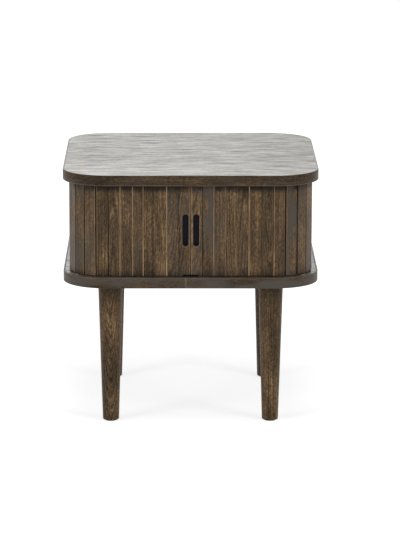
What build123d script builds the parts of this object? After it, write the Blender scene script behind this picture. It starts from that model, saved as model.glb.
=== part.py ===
from build123d import *
from math import cos, degrees, pi, radians, sin
import os

# A square side table on four turned legs, with a small round-cornered cupboard
# between two boards. The cupboard closes with two tambour doors: narrow wooden
# slats on a cloth backing, whose steel pins run in grooves cut in both boards.
# Millimetres. The front faces -Y, +Z is up, and the origin is on the floor
# under the middle of the top.

# Driving dimensions
TOP_SIDE = 450.0
HEIGHT = 454.0
BOARD_THICK = 18.6
BOARD_CORNER_R = 78.0
LEG_LENGTH = 253.5
LEG_TOP_R = 21.9
LEG_FOOT_R = 14.4
LEG_X = 141.8
LEG_Y = 159.2
BODY_INSET = 11.3
SLAT_PITCH = 20.5
SLAT_THICK = 6.0
SLAT_COUNT = 14
DOOR_TRAVEL_PITCHES = 6

# Boards and their solid lippings
LIPPING_THICK = 3.0
LIPPING_ARRIS_R = 1.4
BOTTOM_TOP_Z = LEG_LENGTH + BOARD_THICK
TOP_UNDER_Z = HEIGHT - BOARD_THICK
BODY_HEIGHT = TOP_UNDER_Z - BOTTOM_TOP_Z

# The curve that the doors follow: along the front, round the corner, back
# along the side. It is measured on the slats' back faces, where the cloth is.
SLAT_FACE = TOP_SIDE / 2 - BODY_INSET
CORNER_CENTRE = TOP_SIDE / 2 - BOARD_CORNER_R
PATH_OFFSET = SLAT_FACE - SLAT_THICK
PATH_R = PATH_OFFSET - CORNER_CENTRE
CORNER_LENGTH = PATH_R * pi / 2
CENTRE_GAP = 0.15
DOOR_TRAVEL = DOOR_TRAVEL_PITCHES * SLAT_PITCH
DOOR_END = CENTRE_GAP + SLAT_COUNT * SLAT_PITCH

# Slats
SLAT_GAP = 1.0
SLAT_WIDTH = SLAT_PITCH - SLAT_GAP
SLAT_FRONT_BEVEL = 0.6
SLAT_BACK_BEVEL = 0.8
SLAT_BOTTOM_GAP = 1.7
SLAT_TOP_GAP = 1.6
SLAT_LOW_Z = BOTTOM_TOP_Z + SLAT_BOTTOM_GAP
SLAT_HIGH_Z = TOP_UNDER_Z - SLAT_TOP_GAP
SLAT_HEIGHT = SLAT_HIGH_Z - SLAT_LOW_Z

# Finger slots in the two slats that meet at the front, a little nearer to the
# joint than the slats' middles, and their black liners
SLOT_WIDTH = 11.1
SLOT_HEIGHT = 58.2
SLOT_Z = 355.0
SLOT_SHIFT = 1.0
CUP_CLEARANCE = 0.1
CUP_WALL = 0.9
CUP_DEPTH = 12.0

# Guide pins and the grooves that they run in
PIN_R = 1.5
PIN_HOLE_R = 1.6
PIN_IN_SLAT = 12.0
PIN_IN_BOARD = 4.9
LEAD_PIN_SHIFT = 6.0
GROOVE_WIDTH = 4.0
GROOVE_DEPTH = 5.5
GROOVE_OFFSET = PATH_OFFSET + SLAT_THICK / 2
GROOVE_PLAY = 0.6

# Cloth backing
CANVAS_THICK = 0.6
CANVAS_GLUE = 0.3
CANVAS_START = 17.5
CANVAS_END_MARGIN = 1.0
CANVAS_EDGE_MARGIN = 5.0

# Black stop bar under the meeting slats
STOP_HALF_LENGTH = 12.7
STOP_HEIGHT = 3.2
STOP_DEPTH = 8.0
STOP_SETBACK = 0.5
STOP_SCREW_X = 6.0
NOTCH_CLEARANCE = 0.4
STOP_END_CLEARANCE = 0.2
STOP_SCREW_R = 1.25
STOP_SCREW_HEAD_R = 2.3
STOP_SCREW_HEAD = 1.4
STOP_SCREW_LENGTH = 12.0

# Fixed panels of the cupboard, coopered like the doors and set in behind them
PANEL_THICK = 12.0
PANEL_SETBACK = 8.2
PANEL_FACE = PATH_OFFSET - PANEL_SETBACK
PANEL_INNER = PANEL_FACE - PANEL_THICK
PANEL_FRONT_Y = -140.0
PANEL_STAVES = 14
CORNER_STAVES = 4
STAVE_GROOVE = 0.9
CORNER_OUTER_R = PANEL_FACE - CORNER_CENTRE
CORNER_INNER_R = CORNER_OUTER_R - PANEL_THICK

# Dowels that hold the panels between the boards
DOWEL_R = 3.0
DOWEL_HOLE_R = 3.1
DOWEL_LENGTH = 24.0
DOWEL_HOLE_DEPTH = 12.5
DOWEL_LINE = (PANEL_FACE + PANEL_INNER) / 2
SIDE_DOWEL_Y = (-118.0, 3.5, 125.0)
BACK_DOWEL_X = (-115.0, 0.0, 115.0)

# Leg fixings and glides
INSERT_R = 5.5
INSERT_LENGTH = 13.0
BOLT_R = 4.0
BOLT_CLEARANCE = 0.05
BOLT_IN_BOARD = 12.0
BOLT_IN_LEG = 38.0
BOLT_HOLE_EXTRA = 1.0
FOOT_BEVEL = 1.6
GLIDE_THICK = 1.5
GLIDE_R = 11.0
GLIDE_NAIL_R = 1.6
GLIDE_NAIL_LENGTH = 12.0

STEP_FOLDER = "parts"


def door_path(s):
    """Place and heading in degrees on the right door's curve, s from the centre."""
    if s < CORNER_CENTRE:
        return s, -PATH_OFFSET, 0.0
    if s < CORNER_CENTRE + CORNER_LENGTH:
        turn = (s - CORNER_CENTRE) / PATH_R
        x = CORNER_CENTRE + PATH_R * sin(turn)
        y = -CORNER_CENTRE - PATH_R * cos(turn)
        return x, y, degrees(turn)
    return PATH_OFFSET, s - 2 * CORNER_CENTRE - CORNER_LENGTH, 90.0


def slat_centre(number):
    """Distance along the curve of a slat's middle, slat 1 at the centre."""
    return CENTRE_GAP + (number - 0.5) * SLAT_PITCH


def on_path(shape, s, side):
    """A shape drawn at the front centre, moved along the right (1) or left (-1) curve."""
    x, y, heading = door_path(s)
    return Pos(side * x, y) * Rot(0, 0, side * heading) * shape


def round_square(half_width, corner_r, z, thick):
    outline = RectangleRounded(2 * half_width, 2 * half_width, corner_r)
    return extrude(Pos(0, 0, z) * outline, thick)


def upright(radius, length, x, y, z):
    """A round rod, hole or dowel that starts at height z."""
    rod = Cylinder(radius, length, align=(Align.CENTER, Align.CENTER, Align.MIN))
    return Pos(x, y, z) * rod


def block(x_range, y_range, z_range):
    size = [high - low for low, high in (x_range, y_range, z_range)]
    corner = Pos(x_range[0], y_range[0], z_range[0])
    return corner * Box(*size, align=(Align.MIN, Align.MIN, Align.MIN))


def slot_solid(width, height, z, thick):
    """An upright slot with round ends, its front face at y = 0 and thick deep."""
    outline = Plane.XZ * Rot(0, 0, 90) * SlotOverall(height, width)
    return Pos(0, 0, z) * extrude(outline, -thick)


def leg_places():
    return [
        ("front_left_leg", -LEG_X, -LEG_Y),
        ("front_right_leg", LEG_X, -LEG_Y),
        ("rear_left_leg", -LEG_X, LEG_Y),
        ("rear_right_leg", LEG_X, LEG_Y),
    ]


def dowel_places():
    """Middles of the dowels in plan: two sides, the back and two rear corners."""
    sides = [(side * DOWEL_LINE, y) for side in (-1, 1) for y in SIDE_DOWEL_Y]
    back = [(x, DOWEL_LINE) for x in BACK_DOWEL_X]
    reach = CORNER_CENTRE + (DOWEL_LINE - CORNER_CENTRE) * cos(pi / 4)
    corners = [(side * reach, reach) for side in (-1, 1)]
    return sides + back + corners


def groove_cut(side, z, depth):
    """The track of one door in one board, with round ends that stop the pins."""
    half = GROOVE_WIDTH / 2
    outer = round_square(GROOVE_OFFSET + half, PATH_R + SLAT_THICK / 2 + half, z, depth)
    inner = round_square(GROOVE_OFFSET - half, PATH_R + SLAT_THICK / 2 - half, z, depth)
    start_x = CENTRE_GAP + SLAT_PITCH / 2 + LEAD_PIN_SHIFT - GROOVE_PLAY
    last_y = door_path(slat_centre(SLAT_COUNT) + DOOR_TRAVEL)[1] + GROOVE_PLAY
    reach = TOP_SIDE / 2
    if side > 0:
        x_range = (start_x, reach)
    else:
        x_range = (-reach, -start_x)
    kept = (outer - inner) & block(x_range, (-reach, last_y), (z, z + depth))
    kept += upright(half, depth, side * start_x, -GROOVE_OFFSET, z)
    kept += upright(half, depth, side * GROOVE_OFFSET, last_y, z)
    return kept


def board(z, groove_z, dowel_z):
    """A square board with rounded corners, grooved and drilled on one face."""
    inner_half = TOP_SIDE / 2 - LIPPING_THICK
    solid = round_square(inner_half, BOARD_CORNER_R - LIPPING_THICK, z, BOARD_THICK)
    for side in (-1, 1):
        solid -= groove_cut(side, groove_z, GROOVE_DEPTH)
    for x, y in dowel_places():
        solid -= upright(DOWEL_HOLE_R, DOWEL_HOLE_DEPTH, x, y, dowel_z)
    return solid


def top_board():
    return board(TOP_UNDER_Z, TOP_UNDER_Z, TOP_UNDER_Z)


def bottom_board():
    solid = board(
        LEG_LENGTH, BOTTOM_TOP_Z - GROOVE_DEPTH, BOTTOM_TOP_Z - DOWEL_HOLE_DEPTH
    )
    for _, x, y in leg_places():
        solid -= upright(INSERT_R, INSERT_LENGTH, x, y, LEG_LENGTH)
    for side in (-1, 1):
        solid -= stop_screw(side)
    return solid


def lipping(z):
    """The solid wood strip glued round a board's edge, its arrises eased."""
    outer = round_square(TOP_SIDE / 2, BOARD_CORNER_R, z, BOARD_THICK)
    edges = outer.faces().sort_by(Axis.Z)[-1].edges()
    edges += outer.faces().sort_by(Axis.Z)[0].edges()
    outer = fillet(edges, LIPPING_ARRIS_R)
    inner_half = TOP_SIDE / 2 - LIPPING_THICK
    return outer - round_square(
        inner_half, BOARD_CORNER_R - LIPPING_THICK, z, BOARD_THICK
    )


def plain_slat():
    """One slat at the front centre: back face at y = 0, shown face towards -Y."""
    half = SLAT_WIDTH / 2
    solid = block((-half, half), (-SLAT_THICK, 0), (SLAT_LOW_Z, SLAT_HIGH_Z))
    front = solid.faces().sort_by(Axis.Y)[0]
    solid = chamfer(front.edges().filter_by(Axis.Z), SLAT_FRONT_BEVEL)
    back = solid.faces().sort_by(Axis.Y)[-1]
    return chamfer(back.edges().filter_by(Axis.Z), SLAT_BACK_BEVEL)


def pin_shift(number, side):
    return side * LEAD_PIN_SHIFT if number == 1 else 0.0


def slat(number, side):
    """A slat drilled for its two guide pins; slat 1 has the finger slot."""
    solid = plain_slat()
    x = pin_shift(number, side)
    y = -SLAT_THICK / 2
    solid -= upright(PIN_HOLE_R, PIN_IN_SLAT, x, y, SLAT_LOW_Z)
    solid -= upright(PIN_HOLE_R, PIN_IN_SLAT, x, y, SLAT_HIGH_Z - PIN_IN_SLAT)
    if number == 1:
        through = slot_solid(SLOT_WIDTH, SLOT_HEIGHT, SLOT_Z, SLAT_THICK)
        solid -= Pos(-side * SLOT_SHIFT, -SLAT_THICK, 0) * through
        solid -= stop_notch(side)
    return on_path(solid, slat_centre(number), side)


def stop_notch(side):
    """The step in a meeting slat's lower corner that clears the stop bar."""
    middle = side * slat_centre(1)
    ends = (-side * SLAT_PITCH, side * (STOP_HALF_LENGTH + STOP_END_CLEARANCE))
    x_range = sorted(x - middle for x in ends)
    high = BOTTOM_TOP_Z + STOP_HEIGHT + NOTCH_CLEARANCE
    return block(x_range, (-SLAT_THICK, 0), (BOTTOM_TOP_Z, high))


def handle_cup(side):
    """The black liner of a finger slot: round-ended, closed at the back."""
    outer = slot_solid(
        SLOT_WIDTH - 2 * CUP_CLEARANCE, SLOT_HEIGHT - 2 * CUP_CLEARANCE, SLOT_Z, CUP_DEPTH
    )
    shrink = 2 * (CUP_CLEARANCE + CUP_WALL)
    inner = slot_solid(
        SLOT_WIDTH - shrink, SLOT_HEIGHT - shrink, SLOT_Z, CUP_DEPTH - CUP_WALL
    )
    cup = Pos(-side * SLOT_SHIFT, -SLAT_THICK, 0) * (outer - inner)
    return on_path(cup, slat_centre(1), side)


def guide_pins(side):
    """Two steel pins for each slat of one door."""
    length = PIN_IN_SLAT + SLAT_BOTTOM_GAP + PIN_IN_BOARD
    low_z = BOTTOM_TOP_Z - PIN_IN_BOARD
    high_z = SLAT_HIGH_Z - PIN_IN_SLAT
    pins = []
    for number in range(1, SLAT_COUNT + 1):
        for z in (low_z, high_z):
            x = pin_shift(number, side)
            pin = upright(PIN_R, length, x, -SLAT_THICK / 2, z)
            pins.append(on_path(pin, slat_centre(number), side))
    return Compound(children=pins)


def canvas(side):
    """The cloth glued behind one door's slats, bent round the corner."""
    low_z = SLAT_LOW_Z + CANVAS_EDGE_MARGIN
    height = SLAT_HEIGHT - 2 * CANVAS_EDGE_MARGIN
    back = CANVAS_GLUE + CANVAS_THICK
    end_y = door_path(DOOR_END - CANVAS_END_MARGIN)[1]
    outer = round_square(PATH_OFFSET - CANVAS_GLUE, PATH_R - CANVAS_GLUE, low_z, height)
    inner = round_square(PATH_OFFSET - back, PATH_R - back, low_z, height)
    ends = sorted((side * CANVAS_START, side * TOP_SIDE))
    kept = block(ends, (-TOP_SIDE, end_y), (low_z, low_z + height))
    return (outer - inner) & kept


def stop_screw(side):
    """A countersunk screw, pointing down from the stop bar's top face."""
    x = side * STOP_SCREW_X
    y = -SLAT_FACE + STOP_SETBACK + STOP_DEPTH / 2
    top = BOTTOM_TOP_Z + STOP_HEIGHT
    head = Cone(
        STOP_SCREW_R,
        STOP_SCREW_HEAD_R,
        STOP_SCREW_HEAD,
        align=(Align.CENTER, Align.CENTER, Align.MAX),
    )
    shank_length = STOP_SCREW_LENGTH - STOP_SCREW_HEAD
    shank = upright(STOP_SCREW_R, shank_length, x, y, top - STOP_SCREW_LENGTH)
    return shank + Pos(x, y, top) * head


def centre_stop():
    y = -SLAT_FACE + STOP_SETBACK
    bar = block(
        (-STOP_HALF_LENGTH, STOP_HALF_LENGTH),
        (y, y + STOP_DEPTH),
        (BOTTOM_TOP_Z, BOTTOM_TOP_Z + STOP_HEIGHT),
    )
    return bar - stop_screw(-1) - stop_screw(1)


def drill_dowels(solid, places):
    for x, y in places:
        solid -= upright(DOWEL_HOLE_R, DOWEL_HOLE_DEPTH, x, y, BOTTOM_TOP_Z)
        high_z = TOP_UNDER_Z - DOWEL_HOLE_DEPTH
        solid -= upright(DOWEL_HOLE_R, DOWEL_HOLE_DEPTH, x, y, high_z)
    return solid


def stave_line(x, y, heading):
    """A fine upright groove in a panel's face, at the joint of two staves."""
    bit = block(
        (-STAVE_GROOVE, STAVE_GROOVE),
        (-STAVE_GROOVE, STAVE_GROOVE),
        (BOTTOM_TOP_Z, TOP_UNDER_Z),
    )
    return Pos(x, y) * Rot(0, 0, heading) * Rot(0, 0, 45) * bit


def flat_panel(start, end, count):
    """A flat panel of staves across the front, its outer face at -PANEL_FACE."""
    solid = block(
        (start, end), (-PANEL_FACE, -PANEL_INNER), (BOTTOM_TOP_Z, TOP_UNDER_Z)
    )
    for number in range(1, count):
        x = start + (end - start) * number / count
        solid -= stave_line(x, -PANEL_FACE, 0)
    return solid


def side_panel(side):
    if side > 0:
        panel = Rot(0, 0, 90) * flat_panel(PANEL_FRONT_Y, CORNER_CENTRE, PANEL_STAVES)
    else:
        panel = Rot(0, 0, -90) * flat_panel(-CORNER_CENTRE, -PANEL_FRONT_Y, PANEL_STAVES)
    places = [place for place in dowel_places() if place[0] == side * DOWEL_LINE]
    return drill_dowels(panel, places)


def back_panel():
    panel = Rot(0, 0, 180) * flat_panel(-CORNER_CENTRE, CORNER_CENTRE, PANEL_STAVES)
    places = [place for place in dowel_places() if place[1] == DOWEL_LINE]
    return drill_dowels(panel, places)


def rear_corner(side):
    """A quarter of a coopered ring that joins a side panel to the back."""
    steps = range(CORNER_STAVES + 1)
    turns = [radians(90 * step / CORNER_STAVES) for step in steps]
    outer = [(CORNER_OUTER_R * cos(turn), CORNER_OUTER_R * sin(turn)) for turn in turns]
    fan = make_face(Polyline(*outer, (0, 0), close=True))
    centre = Pos(CORNER_CENTRE, CORNER_CENTRE, BOTTOM_TOP_Z)
    solid = extrude(centre * fan, BODY_HEIGHT)
    solid -= upright(
        CORNER_INNER_R, BODY_HEIGHT, CORNER_CENTRE, CORNER_CENTRE, BOTTOM_TOP_Z
    )
    for (x, y), turn in list(zip(outer, turns))[1:-1]:
        solid -= stave_line(CORNER_CENTRE + x, CORNER_CENTRE + y, degrees(turn))
    if side < 0:
        solid = mirror(solid, Plane.YZ)
    places = [place for place in dowel_places()[-2:] if place[0] * side > 0]
    return drill_dowels(solid, places)


def dowels(z):
    """The beech dowels of one board, half in the board and half in the panels."""
    low_z = z - DOWEL_LENGTH / 2
    pegs = [upright(DOWEL_R, DOWEL_LENGTH, x, y, low_z) for x, y in dowel_places()]
    return Compound(children=pegs)


def leg(x, y):
    """A straight turned taper, eased at the foot, drilled for bolt and glide."""
    low_z = GLIDE_THICK
    taper = Cone(
        LEG_FOOT_R,
        LEG_TOP_R,
        LEG_LENGTH - low_z,
        align=(Align.CENTER, Align.CENTER, Align.MIN),
    )
    foot_edge = taper.edges().sort_by(Axis.Z)[0]
    taper = Pos(x, y, low_z) * chamfer(foot_edge, FOOT_BEVEL)
    hole = BOLT_IN_LEG + BOLT_HOLE_EXTRA
    taper -= upright(BOLT_R + BOLT_CLEARANCE, hole, x, y, LEG_LENGTH - hole)
    return taper - upright(GLIDE_NAIL_R, GLIDE_NAIL_LENGTH, x, y, low_z)


def hanger_bolts():
    """One double-ended bolt for each leg, half in the leg, half in the insert."""
    length = BOLT_IN_LEG + BOLT_IN_BOARD
    bolts = []
    for _, x, y in leg_places():
        bolt = upright(BOLT_R, length, x, y, LEG_LENGTH - BOLT_IN_LEG)
        ends = bolt.edges().filter_by(GeomType.CIRCLE)
        bolts.append(chamfer(ends, BOLT_R / 4))
    return Compound(children=bolts)


def threaded_inserts():
    rings = []
    for _, x, y in leg_places():
        ring = upright(INSERT_R, INSERT_LENGTH, x, y, LEG_LENGTH)
        bore = upright(BOLT_R + BOLT_CLEARANCE, INSERT_LENGTH, x, y, LEG_LENGTH)
        rings.append(ring - bore)
    return Compound(children=rings)


def foot_glides():
    """Nailed plastic glides that the legs stand on."""
    glides = []
    for _, x, y in leg_places():
        disc = upright(GLIDE_R, GLIDE_THICK, x, y, 0)
        disc = chamfer(disc.edges().sort_by(Axis.Z)[0], GLIDE_THICK / 3)
        glides.append(disc + upright(GLIDE_NAIL_R, GLIDE_NAIL_LENGTH, x, y, GLIDE_THICK))
    return Compound(children=glides)


def all_nodes():
    """Every piece by name, in the order in which the table is put together."""
    nodes = {
        "top_board": top_board(),
        "top_lipping": lipping(TOP_UNDER_Z),
        "bottom_board": bottom_board(),
        "bottom_lipping": lipping(LEG_LENGTH),
        "back_panel": back_panel(),
        "top_dowels": dowels(TOP_UNDER_Z),
        "bottom_dowels": dowels(BOTTOM_TOP_Z),
        "centre_stop": centre_stop(),
        "centre_stop_screws": Compound(children=[stop_screw(-1), stop_screw(1)]),
        "threaded_inserts": threaded_inserts(),
        "hanger_bolts": hanger_bolts(),
        "foot_glides": foot_glides(),
    }
    for name, x, y in leg_places():
        nodes[name] = leg(x, y)
    for word, side in (("left", -1), ("right", 1)):
        nodes[f"{word}_side_panel"] = side_panel(side)
        nodes[f"{word}_rear_corner"] = rear_corner(side)
        for number in range(1, SLAT_COUNT + 1):
            nodes[f"{word}_slat_{number:02d}"] = slat(number, side)
        nodes[f"{word}_handle_cup"] = handle_cup(side)
        nodes[f"{word}_guide_pins"] = guide_pins(side)
        nodes[f"{word}_canvas"] = canvas(side)
    return nodes


os.makedirs(STEP_FOLDER, exist_ok=True)
for node_name, shape in all_nodes().items():
    export_step(shape, f"{STEP_FOLDER}/{node_name}.step")
    print(node_name, round(shape.volume), "mm3")
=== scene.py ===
from math import cos, pi, radians, sin

import bmesh
import bpy
from mathutils import Matrix, Vector


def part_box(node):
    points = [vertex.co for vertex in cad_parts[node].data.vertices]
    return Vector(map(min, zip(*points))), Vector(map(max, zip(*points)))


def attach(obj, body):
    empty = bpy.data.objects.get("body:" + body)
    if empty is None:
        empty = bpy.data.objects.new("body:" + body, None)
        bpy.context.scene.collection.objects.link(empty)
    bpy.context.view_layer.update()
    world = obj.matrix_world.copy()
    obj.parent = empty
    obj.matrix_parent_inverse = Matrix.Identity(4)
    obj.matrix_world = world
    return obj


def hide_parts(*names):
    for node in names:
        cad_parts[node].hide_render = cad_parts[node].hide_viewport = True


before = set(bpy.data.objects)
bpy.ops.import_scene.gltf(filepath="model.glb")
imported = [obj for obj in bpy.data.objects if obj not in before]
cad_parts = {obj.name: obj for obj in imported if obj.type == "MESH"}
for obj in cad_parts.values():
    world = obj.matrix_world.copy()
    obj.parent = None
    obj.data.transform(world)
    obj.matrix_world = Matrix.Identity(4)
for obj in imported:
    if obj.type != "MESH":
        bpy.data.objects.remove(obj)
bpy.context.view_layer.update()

# The studio: a white floor, soft lamps left, right and overhead, a weak one
# behind that puts a sheen on the top, and a long lens. Floor and far field show
# white and take a soft shadow. The top doesn't mirror the side lamps.
FLOOR_HALF = 30.0
FLOOR_ALBEDO = 0.55
FLOOR_SHOWN_ALBEDO = 0.30
FLOOR_GLOW = 0.765
FLOOR_FAR_GLOW = 1.0
FLOOR_NEAR, FLOOR_FAR = 0.45, 1.2
FIELD_SOFT = 0.42
FIELD_SHOWN = 1.0
CAMERA_PLACE = (-0.02825, -5.42171, 1.40191)
CAMERA_YAW, CAMERA_PITCH, CAMERA_ROLL = -0.00852, -0.21021, -0.00186
CAMERA_LENS = 205.7
SENSOR = 36.0
WHITE = (1.0, 1.0, 1.0)
COOL_WHITE = (0.94, 1.0, 0.96)
LAMP_AIM = (0.0, 0.0, 0.3)
LAMPS = (  # name, place, width, power, colour, shows in reflections
    ("left_softbox", (-2.3, -1.9, 1.35), 1.3, 47.0, WHITE, False),
    ("right_softbox", (2.3, -1.9, 1.35), 1.3, 47.0, WHITE, False),
    ("overhead_softbox", (0.0, -0.5, 3.0), 1.6, 48.0, WHITE, True),
    ("rear_softbox", (-0.25, 2.0, 1.15), 1.2, 1.3, COOL_WHITE, True),
)


def add_node(tree, kind, inputs=None, **settings):
    """One node in a tree. An input takes a plain value or another node's output."""
    node = tree.nodes.new(kind)
    for name, value in settings.items():
        setattr(node, name, value)
    for key, value in (inputs or {}).items():
        if isinstance(value, bpy.types.NodeSocket):
            tree.links.new(value, node.inputs[key])
        else:
            node.inputs[key].default_value = value
    return node


def result(tree, kind, inputs=None, **settings):
    """The first output of a new node."""
    return add_node(tree, kind, inputs, **settings).outputs[0]


def maths(tree, operation, *values):
    return result(
        tree, "ShaderNodeMath", dict(enumerate(values)), operation=operation
    )


def soft_step(tree, value, low, high, start=0.0, end=1.0):
    """From start at low to end at high, eased at both."""
    inputs = {"Value": value, "From Min": low, "From Max": high}
    inputs.update({"To Min": start, "To Max": end})
    return result(tree, "ShaderNodeMapRange", inputs, interpolation_type="SMOOTHSTEP")


def object_place(tree):
    return add_node(tree, "ShaderNodeTexCoord").outputs["Object"]


def new_material(name):
    """An empty node material and its output node."""
    material = bpy.data.materials.new(name)
    material.use_nodes = True
    material.node_tree.nodes.clear()
    return material, add_node(material.node_tree, "ShaderNodeOutputMaterial")


def link_object(name, data):
    made = bpy.data.objects.new(name, data)
    bpy.context.scene.collection.objects.link(made)
    return made


def seen_directly(tree):
    """1 for rays from the lens and for reflections, 0 for light that fills shade."""
    path = add_node(tree, "ShaderNodeLightPath").outputs
    shown = maths(tree, "MAXIMUM", path["Is Camera Ray"], path["Is Glossy Ray"])
    return maths(tree, "MAXIMUM", shown, path["Is Transmission Ray"])


def floor_finish():
    material, output = new_material("white_floor")
    tree = material.node_tree
    lit, hidden = (
        result(tree, "ShaderNodeBsdfDiffuse", {"Color": (grey, grey, grey, 1)})
        for grey in (FLOOR_SHOWN_ALBEDO, FLOOR_ALBEDO)
    )
    place = {0: object_place(tree)}
    away = add_node(tree, "ShaderNodeVectorMath", place, operation="LENGTH").outputs[1]
    strength = soft_step(tree, away, FLOOR_NEAR, FLOOR_FAR, FLOOR_GLOW, FLOOR_FAR_GLOW)
    glow = result(tree, "ShaderNodeEmission", {"Strength": strength})
    shown = result(tree, "ShaderNodeAddShader", {0: lit, 1: glow})
    choice = {0: seen_directly(tree), 1: hidden, 2: shown}
    mixed = result(tree, "ShaderNodeMixShader", choice)
    tree.links.new(mixed, output.inputs["Surface"])
    return material


def white_field():
    world = bpy.data.worlds.new("white_field")
    world.use_nodes = True
    tree = world.node_tree
    tree.nodes.clear()
    extra = maths(tree, "MULTIPLY", seen_directly(tree), FIELD_SHOWN - FIELD_SOFT)
    strength = maths(tree, "ADD", extra, FIELD_SOFT)
    light = result(
        tree, "ShaderNodeBackground", {"Color": (1, 1, 1, 1), "Strength": strength}
    )
    add_node(tree, "ShaderNodeOutputWorld", {"Surface": light})
    return world


floor_mesh = bpy.data.meshes.new("floor")
floor_corners = [
    (x * FLOOR_HALF, y * FLOOR_HALF, 0.0) for x, y in ((-1, -1), (1, -1), (1, 1), (-1, 1))
]
floor_mesh.from_pydata(floor_corners, [], [(0, 1, 2, 3)])
floor_mesh.materials.append(floor_finish())
link_object("floor", floor_mesh)
bpy.context.scene.world = white_field()
bpy.context.scene.view_settings.view_transform = "Standard"

for lamp_name, place, width, power, colour, mirrored in LAMPS:
    lamp = bpy.data.lights.new(lamp_name, "AREA")
    lamp.shape = "DISK"
    lamp.size = width
    lamp.energy = power
    lamp.color = colour
    stand = link_object(lamp_name, lamp)
    stand.location = place
    stand.visible_camera = False
    stand.visible_glossy = mirrored
    aim = Vector(LAMP_AIM) - Vector(place)
    stand.rotation_euler = aim.to_track_quat("-Z", "Y").to_euler()

lens = bpy.data.cameras.new("camera")
lens.lens = CAMERA_LENS
lens.sensor_width = SENSOR
camera = link_object("camera", lens)
camera_turn = (
    Matrix.Rotation(CAMERA_YAW, 3, "Z")
    @ Matrix.Rotation(CAMERA_PITCH, 3, "X")
    @ Matrix.Rotation(CAMERA_ROLL, 3, "Y")
    @ Matrix.Rotation(pi / 2, 3, "X")
)
camera.matrix_world = Matrix.Translation(CAMERA_PLACE) @ camera_turn.to_4x4()
bpy.context.scene.camera = camera

# Smoked oak, the wood of the whole table: rings round a heart that lies outside
# the piece, open pores in each ring's early wood, and a dark stain that took
# unevenly. Grain coordinates are in metres from the heart, which runs along Z.
RING = 0.0030
STAINS = (
    (0.0, (0.012, 0.0080, 0.0050, 1)),
    (0.32, (0.036, 0.0235, 0.0125, 1)),
    (0.62, (0.087, 0.0536, 0.0272, 1)),
    (1.0, (0.236, 0.149, 0.074, 1)),
)
OAK_NOISE = {  # bumps to the metre on each axis, detail, roughness
    "wander": ((30, 30, 6), 2.0, 0.5),
    "pores": ((900, 900, 130), 1.0, 0.5),
    "fibre": ((760, 760, 18), 3.0, 0.6),
    "streak": ((190, 190, 4.5), 2.0, 0.5),
    "fleck": ((430, 430, 190), 2.0, 0.6),
    "patch": ((38, 38, 11), 2.0, 0.6),
    "cloud": ((52, 52, 15), 2.0, 0.5),
    "scuffs": ((70, 70, 25), 3.0, 0.5),
}
WANDER_REACH = (0.010, 0.010, 0.0)
EARLY_RISE, EARLY_FALL = (0.0, 0.12), (0.65, 0.2)
PORE_LIMITS = (0.52, 0.66)
CLOUD_LIMITS = (0.32, 0.68)
SCUFF_LIMITS = (0.35, 0.6, 0.4, 1.0)
RING_DRIFT = 1.8
RING_DRIFT_PACE = 0.45
ASH_GREY = (0.062, 0.053, 0.044, 1)
WORN_TAN = (0.34, 0.225, 0.125, 1)
OAK_GLOSS = 0.12
COAT_ROUGHNESS = 0.3
RELIEF_DEPTH = 0.0002


def node_group(kind, name, inputs, outputs):
    """An empty node tree with named sockets: the tree, its sockets in and out."""
    tree = bpy.data.node_groups.new(name, kind)
    for way, sockets in (("INPUT", inputs), ("OUTPUT", outputs)):
        for label, value in sockets.items():
            value = "NodeSocket" + value
            tree.interface.new_socket(name=label, in_out=way, socket_type=value)
    given = add_node(tree, "NodeGroupInput").outputs
    return tree, given, add_node(tree, "NodeGroupOutput").inputs


def vector_maths(tree, operation, *values):
    inputs = dict(enumerate(values))
    return result(tree, "ShaderNodeVectorMath", inputs, operation=operation)


def separate(tree, vector):
    return add_node(tree, "ShaderNodeSeparateXYZ", {0: vector}).outputs


def combine(tree, x=0.0, y=0.0, z=0.0):
    return result(tree, "ShaderNodeCombineXYZ", {0: x, 1: y, 2: z})


def noise(tree, vector, per_metre, detail=2.0, rough=0.5):
    """Soft noise with so many bumps to the metre along each axis."""
    scaled = vector_maths(tree, "MULTIPLY", vector, per_metre)
    inputs = {"Vector": scaled, "Scale": 1.0, "Detail": detail, "Roughness": rough}
    return add_node(tree, "ShaderNodeTexNoise", inputs).outputs


def weighted_sum(tree, start, *terms):
    """start plus each value's distance from its middle, times its weight."""
    total = start
    for value, weight, middle in terms:
        part = maths(tree, "MULTIPLY_ADD", value, weight, -weight * middle)
        total = maths(tree, "ADD", total, part)
    return total


def mix_colour(tree, share, colour, other):
    inputs = {0: share, 6: colour, 7: other}
    return add_node(tree, "ShaderNodeMix", inputs, data_type="RGBA").outputs[2]


def bump(tree, strength, distance, height):
    inputs = {"Strength": strength, "Distance": distance, "Height": height}
    return result(tree, "ShaderNodeBump", inputs)


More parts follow.
